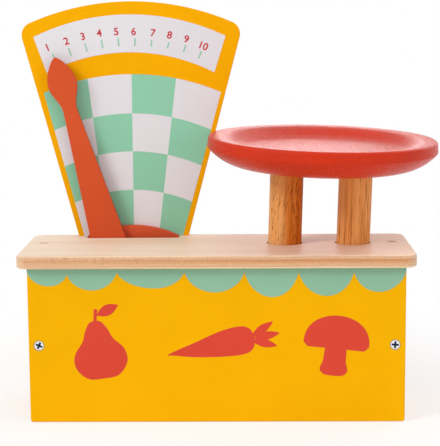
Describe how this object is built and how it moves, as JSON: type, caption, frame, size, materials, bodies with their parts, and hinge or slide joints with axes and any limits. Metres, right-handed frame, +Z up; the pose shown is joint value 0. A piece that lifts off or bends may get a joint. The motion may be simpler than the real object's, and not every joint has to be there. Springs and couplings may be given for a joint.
{
  "type": "toy balance scale",
  "caption": "Wooden toy kitchen scale: a box with a shallow bowl on two posts that sinks when loaded and swings a pointer across a fan-shaped dial.",
  "frame": {"origin": "the middle of the case's underside, on the surface that it stands on", "axes": "+X to the right as seen from the front, from the dial to the bowl; -Y to the front, where the printed panel is; +Z up"},
  "size_m": [0.2502, 0.1365, 0.2432],
  "materials": {
    "yellow_paint": "satin paint on plywood",
    "red_paint": "satin paint on wood",
    "clear_ply": "clear lacquer on birch plywood",
    "clear_dowel": "clear lacquer on hardwood",
    "bare_wood": "bare wood",
    "plug_wood": "clear lacquer",
    "steel": "zinc plated",
    "spring_steel": "oiled",
    "fibre": "matt fibre",
    "green_print": "satin print on paint",
    "white_print": "satin print on paint"
  },
  "bodies": {
    "case": {"bottom_panel": "bare_wood", "front_panel": "yellow_paint", "back_panel": "yellow_paint", "left_side": "yellow_paint", "right_side": "yellow_paint", "top_board": "clear_ply", "dial_panel": "yellow_paint", "arch_plate": "red_paint", "front_screws": "steel", "back_screws": "steel", "bottom_screws": "steel", "lid_screws": "steel", "lid_plugs": "plug_wood", "dial_screws": "steel", "pivot_screw": "steel", "pivot_washer": "steel", "spacer_washer": "fibre", "spring_peg": "bare_wood", "return_spring": "spring_steel"},
    "pan": {"bowl": "red_paint", "left_post": "clear_dowel", "right_post": "clear_dowel", "carrier_beam": "bare_wood", "drive_fork": "bare_wood", "post_screws": "steel", "fork_screws": "steel"},
    "pointer": {"pointer_lever": "red_paint", "drive_pin": "bare_wood"}
  },
  "joints": [
    {"name": "pan_slide", "type": "slide", "parent": "case", "child": "pan", "axis": [-0.0296, 0.0349, -0.999], "range_m": [0, 0.02], "stiffness_N_per_m": 250, "springref_m": -0.012, "deforming": ["return_spring"]},
    {"name": "pointer_swing", "type": "hinge", "parent": "case", "child": "pointer", "pos_m": [-0.0525, 0.0287, 0.042], "axis": [0, 1, 0], "range_deg": [0, 30.6]}
  ],
  "couplings": [
    {"joint": "pointer_swing", "follows": "pan_slide", "rad_per_m": 26.703}
  ]
}
